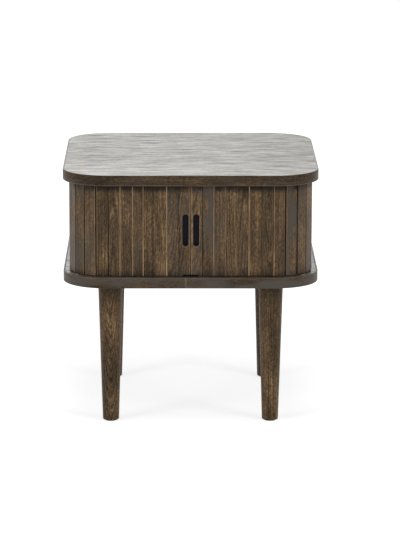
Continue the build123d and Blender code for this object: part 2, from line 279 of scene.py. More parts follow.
def smoked_oak_group():
    inputs = {"Grain": "Vector", "Log": "Float", "Tone": "Float", "Grey": "Float"}
    inputs.update({"Figure": "Float", "Wear": "Float"})
    outputs = {"Colour": "Color", "Roughness": "Float", "Height": "Float"}
    tree, given, out = node_group("ShaderNodeTree", "smoked_oak", inputs, outputs)
    own = vector_maths(tree, "ADD", given["Grain"], combine(tree, z=given["Log"]))
    wander = noise(tree, own, *OAK_NOISE["wander"])["Color"]
    wander = vector_maths(tree, "SUBTRACT", wander, (0.5, 0.5, 0.5))
    wander = vector_maths(tree, "MULTIPLY", wander, WANDER_REACH)
    x, y, z = separate(tree, vector_maths(tree, "ADD", given["Grain"], wander))
    leaned = maths(tree, "MULTIPLY_ADD", z, given["Figure"], y)
    squared = maths(tree, "MULTIPLY_ADD", leaned, leaned, maths(tree, "MULTIPLY", x, x))
    count = maths(tree, "DIVIDE", maths(tree, "SQRT", squared), RING)
    seasons = {"W": maths(tree, "ADD", count, given["Log"])}
    seasons.update({"Scale": RING_DRIFT_PACE, "Detail": 1.0})
    uneven = result(tree, "ShaderNodeTexNoise", seasons, noise_dimensions="1D")
    ring = maths(tree, "FRACT", maths(tree, "MULTIPLY_ADD", uneven, RING_DRIFT, count))
    rise = soft_step(tree, ring, *EARLY_RISE)
    early = maths(tree, "MULTIPLY", rise, soft_step(tree, ring, *EARLY_FALL))
    strand = vector_maths(tree, "ADD", own, wander)
    pores, fibre, streak, fleck = (
        noise(tree, strand, *OAK_NOISE[label])[0]
        for label in ("pores", "fibre", "streak", "fleck")
    )
    patch, cloud, scuffs = (
        noise(tree, own, *OAK_NOISE[label])[0] for label in ("patch", "cloud", "scuffs")
    )
    pores = soft_step(tree, pores, *PORE_LIMITS)
    open_share = maths(tree, "MULTIPLY_ADD", early, 0.75, 0.25)
    pores = maths(tree, "MULTIPLY", pores, open_share)
    level = weighted_sum(
        tree,
        given["Tone"],
        (streak, 0.35, 0.5),
        (patch, 0.85, 0.5),
        (fibre, 0.52, 0.5),
        (fleck, 1.05, 0.5),
        (early, -0.20, 0.38),
        (pores, -0.22, 0.12),
    )
    stain = add_node(tree, "ShaderNodeValToRGB", {"Fac": level})
    ramp = stain.color_ramp
    while len(ramp.elements) < len(STAINS):
        ramp.elements.new(0.5)
    for stop, (place, colour) in zip(ramp.elements, STAINS):
        stop.position = place
        stop.color = colour
    cloud = soft_step(tree, cloud, *CLOUD_LIMITS)
    ashen = maths(tree, "MULTIPLY", given["Grey"], cloud)
    colour = mix_colour(tree, ashen, stain.outputs[0], ASH_GREY)
    rubbed = soft_step(tree, scuffs, *SCUFF_LIMITS)
    rubbed = maths(tree, "MULTIPLY", rubbed, given["Wear"])
    colour = mix_colour(tree, rubbed, colour, WORN_TAN)
    tree.links.new(colour, out["Colour"])
    rough = weighted_sum(tree, 0.42, (fibre, 0.16, 0.5), (pores, 0.25, 0.0))
    tree.links.new(rough, out["Roughness"])
    high = weighted_sum(tree, 0.0, (pores, -1.0, 0.0), (early, -0.25, 0.0))
    high = weighted_sum(tree, high, (fibre, 0.35, 0.5))
    tree.links.new(high, out["Height"])
    return tree


smoked_oak = smoked_oak_group()


def oak_finish(name, grain_of, relief=0.35, gloss=OAK_GLOSS, coat_ior=1.5):
    """Lacquered oak. grain_of(tree) gives the wood group's inputs and the coat."""
    material, output = new_material(name)
    tree = material.node_tree
    values, coat = grain_of(tree)
    wood = add_node(tree, "ShaderNodeGroup", values, node_tree=smoked_oak).outputs
    normal = bump(tree, relief, RELIEF_DEPTH, wood["Height"])
    surface = {
        "Normal": normal,
        "Coat Normal": normal,
        "Base Color": wood["Colour"],
        "Roughness": wood["Roughness"],
        "Specular IOR Level": gloss,
        "Coat Weight": coat,
        "Coat Roughness": COAT_ROUGHNESS,
        "Coat IOR": coat_ior,
    }
    shader = result(tree, "ShaderNodeBsdfPrincipled", surface)
    tree.links.new(shader, output.inputs["Surface"])
    return material


# The two boards: veneered cores whose grain runs across the front, grooved for
# the doors' guide pins. They keep their solids; the veneer is cut so that its
# rings lie nearly straight, as on quarter-sawn leaves.
BOARD_COAT = 0.80
BOARD_RELIEF = 1.0
BOARD_GLOSS = 0.4
BOARD_COAT_IOR = 1.65
LACQUER_BROAD = ((45, 45, 6), 2.0, 0.5)
LACQUER_STREAK = ((150, 150, 13), 3.0, 0.75)
POLISHED = (0.26, 0.10, 0.0, 0.22)
BOARDS = {
    "top_board": {"shift": (0.31, -0.20, 0.2), "tone": 0.42},
    "bottom_board": {"shift": (0.24, 0.05, 1.7), "tone": 0.44},
}


def across_grain(tree, shift):
    """Object coordinates turned so that the grain runs along X."""
    x, y, z = separate(tree, object_place(tree))
    return vector_maths(tree, "ADD", combine(tree, y, z, x), shift)


def lacquer(tree, grain):
    """The coat's weight: it sinks into the open grain and shines in between, most
    of all along the front, where hands polish it."""
    broad = noise(tree, grain, *LACQUER_BROAD)[0]
    streak = noise(tree, grain, *LACQUER_STREAK)[0]
    front = soft_step(tree, separate(tree, grain)[0], *POLISHED)
    weight = weighted_sum(tree, BOARD_COAT, (broad, 0.4, 0.5), (streak, 4.8, 0.5))
    return maths(tree, "ADD", front, weight)


def veneer_grain(facts):
    def values(tree):
        grain = across_grain(tree, facts["shift"])
        inputs = {"Grain": grain, "Tone": facts["tone"], "Grey": 1.0, "Figure": 0.02}
        return inputs, lacquer(tree, grain)

    return values


def finish_node(name, material):
    """A solid of the frame keeps its shape and takes a finish."""
    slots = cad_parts[name].data.materials
    slots.clear()
    slots.append(material)


for board_name, board_facts in BOARDS.items():
    veneer = oak_finish(
        board_name + "_veneer",
        veneer_grain(board_facts),
        relief=BOARD_RELIEF,
        gloss=BOARD_GLOSS,
        coat_ior=BOARD_COAT_IOR,
    )
    finish_node(board_name, veneer)

# The lippings: strips of solid oak bent round each board's edge and glued, their
# ends meeting in a butt joint, on the bottom board just left of the front's
# middle. The arrises are eased and rubbed light where hands and cloths pass.
BOARD_CORNER = 0.078
LIPPING_THICK = 0.003
LIPPING_EASE = 0.0010
EASE_STEPS = 5
CORNER_STEPS = 28
JOINT_GAP = 0.00012
JOINT_RUB = 0.0035
JOINT_WEAR = 0.3
ARRIS_RUB = (0.0015, 0.0004)
FLAT_FACE = (0.0002, 0.00005)
LIPPING_STOCK = (0.05, 0.09, 0.4)
LIPPINGS = {
    "top_lipping": {
        "joint": 0.06,
        "face": -1,
        "grey": 0.2,
        "tone": 0.30,
        "low": 0.5,
        "high": 0.0,
    },
    "bottom_lipping": {
        "joint": -0.0075,
        "face": 1,
        "grey": 1.0,
        "tone": 0.415,
        "low": 0.1,
        "high": 0.08,
    },
}


def geometry_tree(name, inputs):
    """An empty geometry tree with named inputs: its sockets in and its way out."""
    shape = {"Geometry": "Geometry"}
    tree, given, out = node_group("GeometryNodeTree", name, {**shape, **inputs}, shape)
    return tree, given, out[0]


def store(tree, geometry, name, value, kind="FLOAT_VECTOR"):
    inputs = {"Geometry": geometry, "Name": name, "Value": value}
    return result(tree, "GeometryNodeStoreNamedAttribute", inputs, data_type=kind)


def stored(tree, name, kind="FLOAT_VECTOR"):
    inputs = {"Name": name}
    return result(tree, "GeometryNodeInputNamedAttribute", inputs, data_type=kind)


def end_tree(tree, geometry, finish, way_out):
    """Real geometry with its finish on, as every tree here ends."""
    real = result(tree, "GeometryNodeRealizeInstances", {0: geometry})
    inputs = {"Geometry": real, "Material": finish}
    tree.links.new(result(tree, "GeometryNodeSetMaterial", inputs), way_out)
    return tree


def grow(tree, base, name, settings):
    """The tree's result on a base mesh, as a plain mesh object at the origin."""
    made = link_object(name, base)
    modifier = made.modifiers.new("build", "NODES")
    modifier.node_group = tree
    for item in tree.interface.items_tree:
        if item.in_out == "INPUT" and item.name in settings:
            modifier[item.identifier] = settings[item.name]
    ready = made.evaluated_get(bpy.context.evaluated_depsgraph_get())
    grown = bpy.data.meshes.new_from_object(ready)
    made.modifiers.remove(modifier)
    made.data = grown
    return made


def line_mesh(name, points):
    """Points joined in order, as the base of a tree that follows them."""
    line = bpy.data.meshes.new(name)
    steps = [(i, i + 1) for i in range(len(points) - 1)]
    line.from_pydata(points, steps, [])
    return line


def arc(centre_x, centre_y, radius, start, end, steps):
    """Points on an arc in plan, angles in radians, both ends included."""
    turns = [start + (end - start) * step / steps for step in range(steps + 1)]
    return [(centre_x + radius * cos(t), centre_y + radius * sin(t)) for t in turns]


def lipping_rail(half, corner_r, joint_x, face):
    """The lipping's outer line, from the joint once round the board to the joint."""
    reach = half - corner_r
    points = [(joint_x + JOINT_GAP, -half)]
    for quarter, (x, y) in enumerate(((1, -1), (1, 1), (-1, 1), (-1, -1))):
        start = (quarter - 1) * pi / 2
        points += arc(reach * x, reach * y, corner_r, start, start + pi / 2, CORNER_STEPS)
    points.append((joint_x - JOINT_GAP, -half))
    return line_mesh("lipping_rail", [(face * x, face * y, 0.0) for x, y in points])


def lipping_tree():
    inputs = {"Height": "Float", "Thickness": "Float", "Ease": "Float", "Middle": "Float"}
    inputs.update({"Stock": "Vector", "Finish": "Material"})
    tree, given, way_out = geometry_tree("lipping_sweep", inputs)
    rail = result(tree, "GeometryNodeMeshToCurve", {0: given["Geometry"]})
    rail = result(tree, "GeometryNodeSetCurveNormal", {"Curve": rail}, mode="Z_UP")
    along = add_node(tree, "GeometryNodeSplineParameter").outputs["Length"]
    rail = store(tree, rail, "run", along, "FLOAT")
    size = {"Width": given["Thickness"], "Height": given["Height"]}
    section = result(tree, "GeometryNodeCurvePrimitiveQuadrilateral", size)
    place = result(tree, "GeometryNodeInputPosition")
    middle = maths(tree, "MULTIPLY", given["Thickness"], -0.5)
    moved = {"Geometry": section, "Offset": combine(tree, middle)}
    section = result(tree, "GeometryNodeSetPosition", moved)
    outer = maths(tree, "GREATER_THAN", separate(tree, place)[0], middle)
    ease = maths(tree, "MULTIPLY", outer, given["Ease"])
    rounded = {"Curve": section, "Count": EASE_STEPS, "Radius": ease}
    section = result(tree, "GeometryNodeFilletCurve", rounded, mode="POLY")
    section = store(
        tree, section, "cut", vector_maths(tree, "MULTIPLY", place, (1, -1, 1))
    )
    sweep = {"Curve": rail, "Profile Curve": section, "Fill Caps": True}
    swept = result(tree, "GeometryNodeCurveToMesh", sweep)
    cut = separate(tree, stored(tree, "cut"))
    grain = combine(tree, cut[0], cut[1], stored(tree, "run", "FLOAT"))
    swept = store(tree, swept, "grain", grain)
    swept = store(tree, swept, "stock", given["Stock"])
    lifted = {"Geometry": swept, "Offset": combine(tree, z=given["Middle"])}
    swept = result(tree, "GeometryNodeSetPosition", lifted)
    return end_tree(tree, swept, given["Finish"], way_out)


def attribute(tree, name):
    return add_node(tree, "ShaderNodeAttribute", attribute_name=name).outputs


def lipping_grain(height, length, facts, board):
    """Grain along the strip on its edge; on its flat faces the board's veneer."""

    def values(tree):
        own = attribute(tree, "grain")["Vector"]
        moved = vector_maths(tree, "ADD", own, attribute(tree, "stock")["Vector"])
        _, up, run = separate(tree, own)
        far, near = (height / 2 - depth for depth in ARRIS_RUB)
        flat_limits = (height / 2 - depth for depth in FLAT_FACE)
        low = soft_step(tree, up, -far, -near, end=facts["low"])
        high = soft_step(tree, up, far, near, end=facts["high"])
        flat = soft_step(tree, maths(tree, "ABSOLUTE", up), *flat_limits)
        joint_limits = (length - JOINT_RUB, length - JOINT_RUB / 2)
        ends = soft_step(tree, run, *joint_limits, end=JOINT_WEAR)
        wear = maths(tree, "ADD", maths(tree, "ADD", low, high), ends)
        lit = maths(tree, "MULTIPLY", wear, maths(tree, "SUBTRACT", 1.0, flat))
        turned = {0: flat, 4: moved, 5: across_grain(tree, board["shift"])}
        grain = add_node(tree, "ShaderNodeMix", turned, data_type="VECTOR").outputs[1]
        inputs = {"Grain": grain, "Figure": 0.03, "Wear": lit}
        inputs.update({"Tone": facts["tone"], "Grey": facts["grey"]})
        return inputs, maths(tree, "MULTIPLY", flat, BOARD_COAT)

    return values


lipping_sweep = lipping_tree()
for lipping_name, facts in LIPPINGS.items():
    low_corner, high_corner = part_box(lipping_name)
    lipping_height = high_corner.z - low_corner.z
    rail = lipping_rail(high_corner.x, BOARD_CORNER, facts["joint"], facts["face"])
    rail_length = 8 * (high_corner.x - BOARD_CORNER) + 2 * pi * BOARD_CORNER
    board = BOARDS[lipping_name.replace("lipping", "board")]
    finish = oak_finish(
        lipping_name + "_oak", lipping_grain(lipping_height, rail_length, facts, board)
    )
    lipping_settings = {
        "Height": lipping_height,
        "Thickness": LIPPING_THICK,
        "Ease": LIPPING_EASE,
        "Middle": (low_corner.z + high_corner.z) / 2,
        "Stock": (LIPPING_STOCK[0] * facts["face"], *LIPPING_STOCK[1:]),
        "Finish": finish,
    }
    lipping = grow(lipping_sweep, rail, lipping_name + "_strip", lipping_settings)
    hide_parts(lipping_name)
    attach(lipping, "frame")

# The fixed walls of the cupboard: upright oak staves glued edge to edge, with a
# fine V at each joint. Straight runs make the sides and the back, and four
# mitred staves turn each rear corner. Dowels hold them between the boards.
STAVE_EASE = 0.0007
END_EASE = 0.0003
# Painted shade: each strip darkens over its last 16 mm, deeply under the top board's
# overhang and a little at its foot.
END_SHADE_REACH = (0.016, 0.001)
TOP_END_SHADE, FOOT_END_SHADE = -0.80, -0.22
SHOWN_DEPTH = (0.0016, 0.0006)
SIDE_RUB = (0.0018, 0.0011)
RIM_RUB = (0.0015, 0.0004)
STRIP_STEPS = 3
SIDE_STAVES = 14
CORNER_STAVES = 4
WALL_RUN_STEPS = 32
WALL_WOOD = {
    "Stock": (0.06, 0.05, 0.0),
    "Stock spread": (0.06, 0.06, 0.2),
    "Look": (0.55, 0.35, 0.03),
    "Look spread": (0.16, 0.5, 0.05),
}
SIDE_SEEDS = (0, 10, 20)
CORNER_SEEDS = {1: 50, -1: 60}
LOG_SHIFT = 9.0
SHARP = radians(50)


def plate(name, loops, thick, ease):
    """A mesh cut to closed outlines in XY and thick along Z, its sharp arrises eased."""
    shape = bmesh.new()
    for z in (0.0, thick):
        rims = []
        for loop in loops:
            corners = [shape.verts.new((x, y, z)) for x, y in loop]
            nexts = corners[1:] + corners[:1]
            rims += [shape.edges.new(pair) for pair in zip(corners, nexts)]
        bmesh.ops.triangle_fill(shape, use_beauty=True, edges=rims)
    shape.verts.ensure_lookup_table()
    total = sum(len(loop) for loop in loops)
    start = 0
    for loop in loops:
        for i in range(len(loop)):
            a, b = start + i, start + (i + 1) % len(loop)
            side = [shape.verts[k] for k in (a, b, b + total, a + total)]
            shape.faces.new(side)
        start += len(loop)
    bmesh.ops.recalc_face_normals(shape, faces=shape.faces[:])
    sharp = [edge for edge in shape.edges if edge.calc_face_angle(0.0) > SHARP]
    bmesh.ops.bevel(
        shape, geom=sharp, offset=ease, segments=2, profile=0.5, affect="EDGES"
    )
    made = bpy.data.meshes.new(name)
    shape.to_mesh(made)
    shape.free()
    return made


def strip_plan(front, back, thick, front_ease, back_ease):
    """Plan of an upright strip, its shown face towards -Y and its back on y = 0."""
    right = front / 2 - front_ease
    rear = back / 2 - back_ease
    front_y = -thick + front_ease
    quarter = pi / 2
    points = arc(right, front_y, front_ease, -quarter, 0, STRIP_STEPS)
    points += arc(rear, -back_ease, back_ease, 0, quarter, STRIP_STEPS)
    points += arc(-rear, -back_ease, back_ease, quarter, pi, STRIP_STEPS)
    points += arc(-right, front_y, front_ease, pi, 3 * quarter, STRIP_STEPS)
    return points


def upright_strip(name, plan, low_z, high_z, ease=END_EASE):
    strip = plate(name, [plan], high_z - low_z, ease)
    strip.transform(Matrix.Translation((0, 0, low_z)))
    return strip


def stave_tree():
    """Copies of one strip, set square to a path at a steady pitch along it."""
    inputs = {"Strip": "Object", "First": "Int", "Count": "Int"}
    inputs.update({"Start": "Float", "Pitch": "Float", "Seed": "Int"})
    for label in ("Stock", "Stock spread", "Look", "Look spread", "Rub"):
        inputs[label] = "Vector"
    inputs["Finish"] = "Material"
    tree, given, way_out = geometry_tree("stave_run", inputs)
    path = result(tree, "GeometryNodeMeshToCurve", {0: given["Geometry"]})
    number = maths(tree, "ADD", result(tree, "GeometryNodeInputIndex"), given["First"])
    reach = maths(tree, "MULTIPLY_ADD", number, given["Pitch"], given["Start"])
    sample = {"Curves": path, "Length": reach}
    spot = add_node(tree, "GeometryNodeSampleCurve", sample, mode="LENGTH").outputs
    stands = {"Count": given["Count"], "Position": spot["Position"]}
    points = result(tree, "GeometryNodePoints", stands)
    for offset, label in enumerate(("stock", "look")):
        seed = maths(tree, "ADD", given["Seed"], offset)
        limits = {0: (-0.5,) * 3, 1: (0.5,) * 3, "ID": number, "Seed": seed}
        chance = result(tree, "FunctionNodeRandomValue", limits, data_type="FLOAT_VECTOR")
        title = label.capitalize()
        spread = vector_maths(tree, "MULTIPLY", chance, given[title + " spread"])
        value = vector_maths(tree, "ADD", given[title], spread)
        points = store(tree, points, label, value)
    limits = {2: -LOG_SHIFT, 3: LOG_SHIFT, "ID": number, "Seed": given["Seed"]}
    log = add_node(tree, "FunctionNodeRandomValue", limits, data_type="FLOAT").outputs[1]
    points = store(tree, points, "log", log, "FLOAT")
    points = store(tree, points, "rub", given["Rub"])
    strip = add_node(tree, "GeometryNodeObjectInfo", {0: given["Strip"]})
    place = result(tree, "GeometryNodeInputPosition")
    blank = store(tree, strip.outputs["Geometry"], "grain", place)
    ahead = {"Vector": spot["Tangent"]}
    turn = {"axis": "X", "pivot_axis": "Z"}
    facing = result(tree, "FunctionNodeAlignRotationToVector", ahead, **turn)
    copies = {"Points": points, "Instance": blank, "Rotation": facing}
    run = result(tree, "GeometryNodeInstanceOnPoints", copies)
    return end_tree(tree, run, given["Finish"], way_out)


stave_run = stave_tree()


def lay_strips(name, path, strip, settings):
    """One mesh of strips along a path. The strip and the path are used up."""
    jig = link_object(name + "_jig", strip)
    line = line_mesh(name + "_path", path)
    made = grow(stave_run, line, name, {**settings, "Strip": jig})
    bpy.data.objects.remove(jig)
    return made


def carried_grain(tree):
    """Where a piece's own attributes put it: its place, and the wood group's inputs."""
    own = attribute(tree, "grain")["Vector"]
    grain = vector_maths(tree, "ADD", own, attribute(tree, "stock")["Vector"])
    tone, grey, figure = separate(tree, attribute(tree, "look")["Vector"])
    inputs = {"Grain": grain, "Log": attribute(tree, "log")["Fac"], "Tone": tone}
    return own, {**inputs, "Grey": grey, "Figure": figure}


def rim_distance(tree, x, z, slot):
    """How far a point of the face lies from the line between the slot's two centres."""
    beyond = maths(tree, "ABSOLUTE", maths(tree, "SUBTRACT", z, slot["z"]))
    beyond = maths(tree, "SUBTRACT", beyond, slot["half_run"])
    beyond = maths(tree, "MAXIMUM", beyond, 0.0)
    aside = maths(tree, "SUBTRACT", x, slot["x"])
    square = maths(tree, "MULTIPLY", beyond, beyond)
    return maths(tree, "SQRT", maths(tree, "MULTIPLY_ADD", aside, aside, square))


def strip_grain(half_width, thick, slot=None):
    """Grain and rubbed arrises of a strip, from the values that it carries. Each
    strip is painted darker towards its ends: painted shade under the top board, less at
    its foot."""

    def values(tree):
        own, inputs = carried_grain(tree)
        left, right, rim = separate(tree, attribute(tree, "rub")["Vector"])
        x, y, z = separate(tree, own)
        high = [wall_high.z - reach for reach in END_SHADE_REACH]
        low = [wall_low.z + reach for reach in END_SHADE_REACH]
        # Painted shade near the strip's ends: strong under the top board, weak at the
        # foot.
        top_painted_shade = soft_step(tree, z, *high, end=TOP_END_SHADE)
        foot_painted_shade = soft_step(tree, z, *low, end=FOOT_END_SHADE)
        ends = maths(tree, "ADD", top_painted_shade, foot_painted_shade)
        shown = soft_step(tree, y, *(depth - thick for depth in SHOWN_DEPTH))
        low_side = soft_step(tree, x, *(reach - half_width for reach in SIDE_RUB))
        high_side = soft_step(tree, x, *(half_width - reach for reach in SIDE_RUB))
        wear = maths(tree, "MULTIPLY", low_side, left)
        wear = maths(tree, "MULTIPLY_ADD", high_side, right, wear)
        if slot:
            away = rim_distance(tree, x, z, slot)
            edge = soft_step(tree, away, *(slot["radius"] + reach for reach in RIM_RUB))
            wear = maths(tree, "MULTIPLY_ADD", edge, rim, wear)
        tone = maths(tree, "ADD", inputs["Tone"], ends)
        return {**inputs, "Tone": tone, "Wear": maths(tree, "MULTIPLY", wear, shown)}, 0.0

    return values


def raise_wall(name, plan, width, path, count, pitch, seed):
    """A wall of staves along a path, in the place of the wall's solid."""
    stave = upright_strip("stave", plan, wall_low.z, wall_high.z)
    finish = oak_finish(name + "_oak", strip_grain(width / 2, WALL_THICK))
    settings = {**WALL_WOOD, "Count": count, "Start": pitch / 2, "Pitch": pitch}
    settings.update({"Seed": seed, "Finish": finish})
    wall = lay_strips(name + "_staves", [(x, y, 0.0) for x, y in path], stave, settings)
    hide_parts(name)
    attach(wall, "frame")


def wall_paths():
    """Each straight wall's inner line in plan, run with its outside on the right."""
    right_low, right_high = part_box("right_side_panel")
    back_low, back_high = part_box("back_panel")
    inner_x, inner_y = right_low.x, back_low.y
    return {
        "right_side_panel": ((inner_x, right_low.y), (inner_x, right_high.y)),
        "back_panel": ((back_high.x, inner_y), (back_low.x, inner_y)),
        "left_side_panel": ((-inner_x, right_high.y), (-inner_x, right_low.y)),
    }


wall_low, wall_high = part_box("back_panel")
WALL_THICK = wall_high.y - wall_low.y
for seed, (wall_name, (start, end)) in zip(SIDE_SEEDS, wall_paths().items()):
    pitch = (Vector(end) - Vector(start)).length / SIDE_STAVES
    plan = strip_plan(pitch, pitch, WALL_THICK, STAVE_EASE, STAVE_EASE)
    raise_wall(wall_name, plan, pitch, (start, end), SIDE_STAVES, pitch, seed)

CORNER_HALF_TURN = pi / 4 / CORNER_STAVES
corner_low, corner_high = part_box("right_rear_corner")
corner_outer = corner_high.x - corner_low.x
corner_inner = corner_outer - WALL_THICK
corner_front = 2 * corner_outer * sin(CORNER_HALF_TURN)
corner_back = 2 * corner_inner * sin(CORNER_HALF_TURN)
corner_thick = WALL_THICK * cos(CORNER_HALF_TURN)
corner_eases = (STAVE_EASE, STAVE_EASE / 2)
corner_plan = strip_plan(corner_front, corner_back, corner_thick, *corner_eases)
corner_r = corner_inner * cos(CORNER_HALF_TURN)
corner_pitch = corner_r * 2 * CORNER_HALF_TURN
for side, seed in CORNER_SEEDS.items():
    corner_name = ("right" if side > 0 else "left") + "_rear_corner"
    first = 0.0 if side > 0 else pi / 2
    middle_x = side * corner_low.x
    path = arc(middle_x, corner_low.y, corner_r, first, first + pi / 2, WALL_RUN_STEPS)
    wall = (corner_name, corner_plan, corner_front, path)
    raise_wall(*wall, CORNER_STAVES, corner_pitch, seed)

# The two tambour doors: fourteen oak slats each, their arrises eased and rubbed
# through to bare wood where neighbours touch, glued to cloth and running round
# the front corners. The two that meet have a finger slot and a notch below.
SLAT_PITCH = 0.0205
SLAT_GAP = 0.0003
LEAD_GAP = 0.0009
SLAT_THICK = 0.006
SLAT_EASE = 0.0005
SLAT_BACK_EASE = 0.0008
SLAT_COUNT = 14
CENTRE_GAP = 0.00015
DOOR_CORNER = 0.147
DOOR_STEPS = 90
SLOT_RADIUS = 0.00555
SLOT_HALF_RUN = 0.02355
SLOT_Z = 0.355
SLOT_SHIFT = 0.001
SLOT_STEPS = 16
NOTCH_END_PLAY = 0.0002
NOTCH_TOP_PLAY = 0.0004
SLOT_RUB = 0.35
SLAT_SEED = 7
SLAT_STOCK_SPREAD = (0.008, 0.008, 0.05)
DOOR_END_Y = 0.2
CUTS = {
    "quarter": ((0.070, 0.014, -0.35), 0.03),
    "rift": ((0.040, 0.034, -0.35), 0.05),
    "crown": ((0.001, 0.016, -0.37), 0.045),
    "low_crown": ((-0.002, 0.014, -0.33), -0.05),
    "wild": ((0.012, 0.020, -0.35), -0.12),
}
SLATS = {
    "left": (
        ("wild", 0.57, 0.35, 0.0, 0.45),
        ("wild", 0.42, 0.38, 0.1, 0.0),
        ("rift", 0.636, 0.08, 0.0, 1.0),
        ("quarter", 0.51, 0.03, 0.0, 0.1),
        ("quarter", 0.462, 0.3, 0.6, 0.9),
        ("rift", 0.464, 0.1, 0.5, 0.0),
        ("crown", 0.559, 0.08, 0.0, 0.5),
        ("quarter", 0.447, 0.07, 0.3, 0.0),
        ("quarter", 0.596, 0.57, 0.1, 0.35),
        ("rift", 0.532, 0.81, 0.0, 0.2),
        ("quarter", 0.649, 0.8, 0.0, 0.0),
        ("rift", 0.53, 0.5, 0.0, 0.0),
        ("quarter", 0.52, 0.5, 0.0, 0.0),
    ),
    "right": (
        ("wild", 0.52, 0.35, 0.5, 0.0),
        ("rift", 0.437, 0.85, 0.0, 0.55),
        ("quarter", 0.519, 0.46, 0.1, 0.4),
        ("rift", 0.515, 0.15, 0.0, 0.1),
        ("crown", 0.496, 0.25, 0.0, 1.0),
        ("quarter", 0.536, 0.05, 0.1, 0.0),
        ("low_crown", 0.47, 0.1, 0.0, 0.1),
        ("quarter", 0.54, 0.14, 0.5, 0.0),
        ("quarter", 0.562, 0.96, 0.25, 0.0),
        ("rift", 0.548, 0.35, 0.0, 0.2),
        ("quarter", 0.576, 0.65, 0.0, 0.0),
        ("rift", 0.53, 0.5, 0.0, 0.0),
        ("quarter", 0.52, 0.5, 0.0, 0.0),
    ),
}


def door_line(offset, corner, end_y):
    """Left side, front and right side in plan, run with the outside on the right."""
    corner_r = offset - corner
    right = arc(corner, -corner, corner_r, -pi / 2, 0, DOOR_STEPS)
    right.append((offset, end_y))
    left = [(-x, y) for x, y in reversed(right)]
    return [(x, y, 0.0) for x, y in left + right]


def line_length(points):
    pairs = zip(points, points[1:])
    return sum((Vector(b) - Vector(a)).length for a, b in pairs)


def stadium(middle_x, radius, half_run, middle_z, steps):
    """A round-ended upright outline."""
    top = arc(middle_x, middle_z + half_run, radius, 0, pi, steps)
    return top + arc(middle_x, middle_z - half_run, radius, pi, 2 * pi, steps)


def lead_slat(side, half, low_z, high_z):
    """A slat that meets its fellow: finger slot, and a notch over the stop bar."""
    stop_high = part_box("centre_stop")[1]
    notch_x = stop_high.x + NOTCH_END_PLAY - (CENTRE_GAP + SLAT_PITCH / 2)
    notch_z = stop_high.z + NOTCH_TOP_PLAY
    outline = [
        (-half, notch_z),
        (notch_x, notch_z),
        (notch_x, low_z),
        (half, low_z),
        (half, high_z),
        (-half, high_z),
    ]
    if side < 0:
        outline = [(-x, z) for x, z in reversed(outline)]
    middle = -side * SLOT_SHIFT
    slot = stadium(middle, SLOT_RADIUS, SLOT_HALF_RUN, SLOT_Z, SLOT_STEPS)
    slat = plate("lead_slat", [outline, slot], SLAT_THICK, SLAT_EASE)
    slat.transform(Matrix.Rotation(pi / 2, 4, "X"))
    return slat


def door_body(word, number):
    """The body that carries a slat: the last two slats move as one."""
    if number == 1:
        return word + "_door_lead"
    if number >= SLAT_COUNT - 1:
        return word + "_door_tail"
    return f"{word}_door_slat_{number:02d}"


slat_low, slat_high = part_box("right_slat_02")
slat_half = (SLAT_PITCH - SLAT_GAP) / 2
door_path = door_line(-slat_high.y, DOOR_CORNER, DOOR_END_Y)
door_middle = line_length(door_path) / 2
slat_eases = (SLAT_EASE, SLAT_BACK_EASE)
slat_plan = strip_plan(2 * slat_half, 2 * slat_half, SLAT_THICK, *slat_eases)
lead_half = (SLAT_PITCH - LEAD_GAP) / 2
slat_oak = oak_finish("slat_oak", strip_grain(slat_half, SLAT_THICK))


def door_settings(side, number, count):
    """Which places on the door's curve a body's slats take."""
    return {
        "First": number - 1,
        "Count": count,
        "Start": door_middle + side * (CENTRE_GAP + SLAT_PITCH / 2),
        "Pitch": side * SLAT_PITCH,
    }


for word, side in (("left", -1), ("right", 1)):
    slot_facts = {"z": SLOT_Z, "half_run": SLOT_HALF_RUN, "radius": SLOT_RADIUS}
    slot_facts["x"] = -side * SLOT_SHIFT
    lead_grain = strip_grain(lead_half, SLAT_THICK, slot_facts)
    lead_oak = oak_finish(word + "_lead_slat_oak", lead_grain)
    for number, (cut, tone, grey, left, right) in enumerate(SLATS[word], 1):
        body = door_body(word, number)
        count = 2 if body.endswith("tail") else 1
        if number == 1:
            strip = lead_slat(side, lead_half, slat_low.z, slat_high.z)
        else:
            strip = upright_strip("slat", slat_plan, slat_low.z, slat_high.z)
        stock, figure = CUTS[cut]
        settings = {
            **door_settings(side, number, count),
            "Seed": SLAT_SEED + side,
            "Stock": stock,
            "Stock spread": SLAT_STOCK_SPREAD,
            "Look": (tone, grey, figure),
            "Rub": (left, right, SLOT_RUB),
            "Finish": lead_oak if number == 1 else slat_oak,
        }
        slat = lay_strips(body + "_oak", door_path, strip, settings)
        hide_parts(*(f"{word}_slat_{number + i:02d}" for i in range(count)))
        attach(slat, body)

# The doors' hidden parts: a strip of black cotton canvas glued behind each slat,
# and two steel pins driven into its ends, which run in the boards' grooves. Each
# strip goes with its own slat, so the cloth follows the door round the corner.
CANVAS_WIDE = 0.0203
CANVAS_THICK = 0.0006
CANVAS_GLUE = 0.0003
CANVAS_LEAD_START = 0.0175
CANVAS_COLOUR = (0.016, 0.014, 0.013, 1)
CANVAS_WORN = (0.045, 0.041, 0.037, 1)
CANVAS_EASE = CANVAS_THICK / 4
CANVAS_END_EASE = 0.0001
THREADS = 1100.0
WEAVE_RELIEF = 0.0001
PIN_RADIUS = 0.0015
PIN_SIDES = 20
PIN_EASE = 0.0003
PIN_IN_SLAT = 0.012
LEAD_PIN_SHIFT = 0.006
STEEL = (0.42, 0.42, 0.41, 1)
STEEL_DULL = (0.22, 0.215, 0.205, 1)
BLACK_STEEL = (0.11, 0.11, 0.108, 1)
BLACK_STEEL_DULL = (0.05, 0.049, 0.047, 1)


def plain_finish(name, build):
    """A Principled finish from a function that fills its inputs in a tree."""
    material, output = new_material(name)
    tree = material.node_tree
    shader = result(tree, "ShaderNodeBsdfPrincipled", build(tree))
    tree.links.new(shader, output.inputs["Surface"])
    return material


